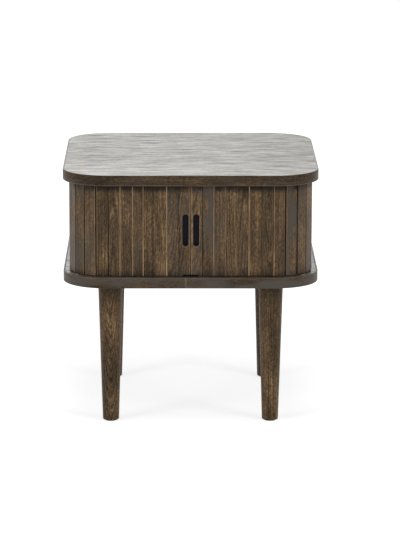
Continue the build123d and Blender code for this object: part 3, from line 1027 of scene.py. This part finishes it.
def canvas_weave(tree):
    """Plain weave: warp and weft take turns on top, as two crossed waves."""
    own = attribute(tree, "grain")["Vector"]
    x, _, z = separate(tree, own)
    warp = maths(tree, "SINE", maths(tree, "MULTIPLY", x, THREADS * 2 * pi))
    weft = maths(tree, "SINE", maths(tree, "MULTIPLY", z, THREADS * 2 * pi))
    weave = maths(tree, "MULTIPLY", warp, weft)
    lint = noise(tree, own, (400, 400, 400), 3.0)[0]
    share = weighted_sum(tree, 0.2, (weave, 0.15, 0.0), (lint, 0.8, 0.5))
    return {
        "Base Color": mix_colour(tree, share, CANVAS_COLOUR, CANVAS_WORN),
        "Roughness": maths(tree, "MULTIPLY_ADD", lint, 0.1, 0.85),
        "Normal": bump(tree, 0.5, WEAVE_RELIEF, weave),
        "Specular IOR Level": 0.2,
    }


def steel_surface(tree, bright=STEEL, matt=STEEL_DULL):
    """Drawn steel with dull patches and fine scratches along Z."""
    place = object_place(tree)
    dull = noise(tree, place, (180, 180, 180), 3.0)[0]
    scratch = noise(tree, place, (3000, 3000, 200), 2.0)[0]
    return {
        "Base Color": mix_colour(tree, dull, bright, matt),
        "Metallic": 1.0,
        "Roughness": weighted_sum(tree, 0.32, (dull, 0.2, 0.5), (scratch, 0.15, 0.5)),
        "Normal": bump(tree, 0.2, 0.00005, scratch),
    }


def pin_pair(shift, low_z, high_z, ends):
    """Two round pins with eased ends, one below the slat and one above it."""
    circle = arc(shift, -SLAT_THICK / 2, PIN_RADIUS, 0, 2 * pi, PIN_SIDES)[:-1]
    pair = bmesh.new()
    for low, high in ((ends[0], low_z + PIN_IN_SLAT), (high_z - PIN_IN_SLAT, ends[1])):
        pin = plate("pin", [circle], high - low, PIN_EASE)
        pin.transform(Matrix.Translation((0, 0, low)))
        pair.from_mesh(pin)
    pins = bpy.data.meshes.new("pins")
    pair.to_mesh(pins)
    pair.free()
    return pins


canvas_low, canvas_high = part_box("right_canvas")
pins_low, pins_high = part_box("right_guide_pins")
canvas_eases = (CANVAS_EASE, CANVAS_EASE)
canvas_plan = strip_plan(CANVAS_WIDE, CANVAS_WIDE, CANVAS_THICK, *canvas_eases)
black_canvas = plain_finish("black_canvas", canvas_weave)
pin_steel = plain_finish(
    "pin_steel", lambda tree: steel_surface(tree, BLACK_STEEL, BLACK_STEEL_DULL)
)

for word, side in (("left", -1), ("right", 1)):
    for number in range(1, SLAT_COUNT):
        body = door_body(word, number)
        count = 2 if body.endswith("tail") else 1
        settings = door_settings(side, number, count)
        outline = [(x, y + CANVAS_THICK + CANVAS_GLUE) for x, y in canvas_plan]
        if number == 1:
            start = CANVAS_LEAD_START - CENTRE_GAP - SLAT_PITCH / 2
            outline = [(side * max(side * x, start), y) for x, y in outline]
        heights = (canvas_low.z, canvas_high.z)
        cloth = upright_strip("canvas", outline, *heights, CANVAS_END_EASE)
        settings["Finish"] = black_canvas
        backing = lay_strips(body + "_canvas", door_path, cloth, settings)
        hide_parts(word + "_canvas")
        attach(backing, body)
        shift = side * LEAD_PIN_SHIFT if number == 1 else 0.0
        pins = pin_pair(shift, slat_low.z, slat_high.z, (pins_low.z, pins_high.z))
        settings["Finish"] = pin_steel
        pair = lay_strips(body + "_pins", door_path, pins, settings)
        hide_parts(word + "_guide_pins")
        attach(pair, body)

# The liners of the finger slots: moulded black plastic cups, pressed into the two
# lead slats until their rims lie flush with the face. Their walls round into the
# floor, and the rims are slightly softened.
CUP_PLAY = 0.0001
CUP_WALL = 0.0009
CUP_FLOOR_ROUND = 0.0012
CUP_RIM_ROUND = 0.00035
CUP_STEPS = 24
CUP_ROUND_STEPS = 4
LINER_BLACK = (0.018, 0.0175, 0.025, 1)
LINER_SCUFF = (0.027, 0.026, 0.034, 1)
FINE_RELIEF = 0.0001


def worn_surface(colours, patches, limits, relief, rough, gloss=0.5, fine=None):
    """What fills a plain finish: a colour that wears to another in patches, between
    two limits of their noise. Its relief is the fine noise, or else the patches.
    rough is the roughness, with what wear and the fine noise add to it."""

    def values(tree):
        place = object_place(tree)
        worn = soft_step(tree, noise(tree, place, *patches)[0], *limits)
        texture = noise(tree, place, *fine)[0] if fine else worn
        even, by_wear, by_texture = rough
        shares = ((worn, by_wear, 0.0), (texture, by_texture, 0.0))
        return {
            "Base Color": mix_colour(tree, worn, *colours),
            "Roughness": weighted_sum(tree, even, *shares),
            "Normal": bump(tree, relief, FINE_RELIEF, texture),
            "Specular IOR Level": gloss,
        }

    return values


def cup_rings(front_y, back_y):
    """Inset and depth of each ring, from the outside of the floor to its inside."""
    wide, small, steps = CUP_FLOOR_ROUND, CUP_RIM_ROUND, CUP_ROUND_STEPS
    outside = arc(wide, back_y - wide, wide, pi / 2, pi, steps)
    rim = arc(small, front_y + small, small, pi, 2 * pi, steps)
    across = (CUP_WALL - 2 * small) / steps
    rim = [(inset + across * step, y) for step, (inset, y) in enumerate(rim)]
    inside_x, inside_y = CUP_WALL + wide, back_y - CUP_WALL - wide
    return outside + rim + arc(inside_x, inside_y, wide, pi, pi / 2, steps)


def liner_cup(name, middle_x, front_y, back_y):
    """A round-ended cup lofted through rings, closed by its floor, in and out."""
    shape = bmesh.new()
    loops = []
    radius = SLOT_RADIUS - CUP_PLAY
    for inset, y in cup_rings(front_y, back_y):
        outline = stadium(middle_x, radius - inset, SLOT_HALF_RUN, SLOT_Z, CUP_STEPS)
        loops.append([shape.verts.new((x, y, z)) for x, z in outline])
    for low, high in zip(loops, loops[1:]):
        for i, corner in enumerate(low):
            j = (i + 1) % len(low)
            shape.faces.new((corner, low[j], high[j], high[i]))
    shape.faces.new(loops[0])
    shape.faces.new(loops[-1])
    bmesh.ops.recalc_face_normals(shape, faces=shape.faces[:])
    cup = bpy.data.meshes.new(name)
    shape.to_mesh(cup)
    shape.free()
    cup.shade_smooth()
    cup.set_sharp_from_angle(angle=SHARP)
    return cup


moulded_plastic = worn_surface(
    (LINER_BLACK, LINER_SCUFF),
    patches=((120, 120, 60), 3.0),
    limits=(0.45, 0.75),
    relief=0.25,
    rough=(0.4, 0.1, 0.1),
    gloss=0.1,
    fine=((2600, 2600, 2600), 2.0),
)
liner_black = plain_finish("liner_black", moulded_plastic)
for word, side in (("left", -1), ("right", 1)):
    cup_low, cup_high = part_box(word + "_handle_cup")
    middle_x = (cup_low.x + cup_high.x) / 2
    cup_mesh = liner_cup(word + "_liner", middle_x, cup_low.y, cup_high.y)
    cup_mesh.materials.append(liner_black)
    liner = link_object(word + "_slot_liner", cup_mesh)
    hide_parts(word + "_handle_cup")
    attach(liner, word + "_door_lead")

# The stop bar, a short near-black strip screwed down where the doors meet, and
# its two countersunk screws. Both keep their solids.
# Painted shade: the bar is coloured darker than any paint, to stand for the dark gap
# under the meeting slats.
STOP_SHADE_BLACK = (0.003, 0.003, 0.0035, 1)
STOP_SCUFF = (0.007, 0.007, 0.0075, 1)
shade_black_bar = worn_surface(
    (STOP_SHADE_BLACK, STOP_SCUFF),
    patches=((90, 300, 300), 3.0),
    limits=(0.5, 0.75),
    relief=0.15,
    rough=(0.39, 0.2, 0.0),
    gloss=0.05,
    fine=((1500, 1500, 1500), 1.0),
)
finish_node("centre_stop", plain_finish("stop_shade_black", shade_black_bar))
zinc_steel = plain_finish("zinc_steel", steel_surface)
finish_node("centre_stop_screws", zinc_steel)

# The four legs: solid oak, turned to a straight taper, their feet eased all
# round and their tops cut square under the bottom board. Each comes from its
# own place in the log, the front left one with a crown that points down.
LEG_FOOT_R = 0.0144
LEG_TOP_R = 0.0219
LEG_FOOT_EASE = 0.0018
LEG_TOP_EASE = 0.0003
LEG_SIDES = 72
LEG_STEPS = 24
LEG_EASE_STEPS = 6
LEG_SMOOTH = radians(40)
LEG_LOG_STEP = 0.7
LEGS = {
    "front_left_leg": {"stock": (0.001, 0.040, -0.14), "look": (0.50, 0.0, -0.12)},
    "front_right_leg": {"stock": (0.035, 0.050, -0.12), "look": (0.44, 0.0, 0.03)},
    "rear_left_leg": {"stock": (-0.050, 0.030, -0.12), "look": (0.52, 0.3, 0.05)},
    "rear_right_leg": {"stock": (0.040, -0.045, -0.12), "look": (0.52, 0.3, 0.05)},
}


def leg_line(low_z, high_z):
    """Heights up a leg's axis, close together where the foot and top are eased."""
    turns = [pi / 2 * step / LEG_EASE_STEPS for step in range(LEG_EASE_STEPS + 1)]
    foot = [low_z + LEG_FOOT_EASE * (1 - cos(turn)) for turn in turns]
    top = [high_z - LEG_TOP_EASE * (1 - cos(turn)) for turn in reversed(turns)]
    run = (top[0] - foot[-1]) / LEG_STEPS
    middle = [foot[-1] + run * step for step in range(1, LEG_STEPS)]
    return [(0.0, 0.0, z) for z in foot + middle + top]


def eased(tree, distance, ease):
    """How far a round-over of that radius draws in, at a distance from the end."""
    left = maths(tree, "MAXIMUM", maths(tree, "SUBTRACT", ease, distance), 0.0)
    square = maths(tree, "MULTIPLY", left, left)
    inner = maths(tree, "SUBTRACT", maths(tree, "MULTIPLY", ease, ease), square)
    inner = maths(tree, "SQRT", maths(tree, "MAXIMUM", inner, 0.0))
    return maths(tree, "SUBTRACT", ease, inner)


def leg_tree():
    """A turned taper up a line of heights, moved to its place when it is done."""
    inputs = {"Foot radius": "Float", "Top radius": "Float", "Low": "Float"}
    inputs.update({"High": "Float", "Foot ease": "Float", "Top ease": "Float"})
    inputs.update({"Sides": "Int", "Place": "Vector", "Stock": "Vector"})
    inputs.update({"Look": "Vector", "Log": "Float", "Finish": "Material"})
    tree, given, way_out = geometry_tree("leg_turning", inputs)
    line = result(tree, "GeometryNodeMeshToCurve", {0: given["Geometry"]})
    z = separate(tree, result(tree, "GeometryNodeInputPosition"))[2]
    above = maths(tree, "SUBTRACT", z, given["Low"])
    below = maths(tree, "SUBTRACT", given["High"], z)
    share = maths(tree, "DIVIDE", above, maths(tree, "ADD", above, below))
    growth = maths(tree, "SUBTRACT", given["Top radius"], given["Foot radius"])
    radius = maths(tree, "MULTIPLY_ADD", growth, share, given["Foot radius"])
    for reach, ease in ((above, given["Foot ease"]), (below, given["Top ease"])):
        radius = maths(tree, "SUBTRACT", radius, eased(tree, reach, ease))
    round_section = {"Resolution": given["Sides"], "Radius": 1.0}
    circle = result(tree, "GeometryNodeCurvePrimitiveCircle", round_section)
    sweep = {"Curve": line, "Profile Curve": circle, "Scale": radius, "Fill Caps": True}
    turned = result(tree, "GeometryNodeCurveToMesh", sweep)
    place = result(tree, "GeometryNodeInputPosition")
    turned = store(tree, turned, "grain", place)
    turned = store(tree, turned, "stock", given["Stock"])
    turned = store(tree, turned, "look", given["Look"])
    turned = store(tree, turned, "log", given["Log"], "FLOAT")
    moved = {"Geometry": turned, "Offset": given["Place"]}
    moved = result(tree, "GeometryNodeSetPosition", moved)
    return end_tree(tree, moved, given["Finish"], way_out)


leg_turning = leg_tree()
leg_oak = oak_finish("leg_oak", lambda tree: (carried_grain(tree)[1], 0.0))
for log, (leg_name, facts) in enumerate(LEGS.items()):
    leg_low, leg_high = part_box(leg_name)
    middle = (leg_low + leg_high) / 2
    line = line_mesh("leg_line", leg_line(leg_low.z, leg_high.z))
    leg_settings = {
        "Foot radius": LEG_FOOT_R,
        "Top radius": LEG_TOP_R,
        "Low": leg_low.z,
        "High": leg_high.z,
        "Foot ease": LEG_FOOT_EASE,
        "Top ease": LEG_TOP_EASE,
        "Sides": LEG_SIDES,
        "Place": (middle.x, middle.y, 0.0),
        "Stock": facts["stock"],
        "Look": facts["look"],
        "Log": LEG_LOG_STEP * log,
        "Finish": leg_oak,
    }
    leg = grow(leg_turning, line, leg_name + "_turned", leg_settings)
    leg.data.shade_smooth()
    leg.data.set_sharp_from_angle(angle=LEG_SMOOTH)
    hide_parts(leg_name)
    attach(leg, "frame")

# What holds the table together and what it stands on: beech dowels, steel
# inserts and hanger bolts, and nylon glides nailed under the feet. All of them
# keep their solids, and only the glides' edges show.
BEECH = (0.42, 0.27, 0.15, 1)
BEECH_DARK = (0.30, 0.18, 0.095, 1)
NYLON = (0.045, 0.043, 0.041, 1)
NYLON_SCUFF = (0.12, 0.115, 0.11, 1)
beech_surface = worn_surface(
    (BEECH, BEECH_DARK),
    patches=((1400, 1400, 260), 2.0),
    limits=(0.5, 0.7),
    relief=0.3,
    rough=(0.6, 0.1, 0.0),
)
nylon_surface = worn_surface(
    (NYLON, NYLON_SCUFF),
    patches=((300, 300, 300), 4.0),
    limits=(0.45, 0.7),
    relief=0.3,
    rough=(0.5, 0.2, 0.0),
)
beech = plain_finish("beech", beech_surface)
for node_name in ("top_dowels", "bottom_dowels"):
    finish_node(node_name, beech)
for node_name in ("threaded_inserts", "hanger_bolts"):
    finish_node(node_name, zinc_steel)
finish_node("foot_glides", plain_finish("glide_nylon", nylon_surface))
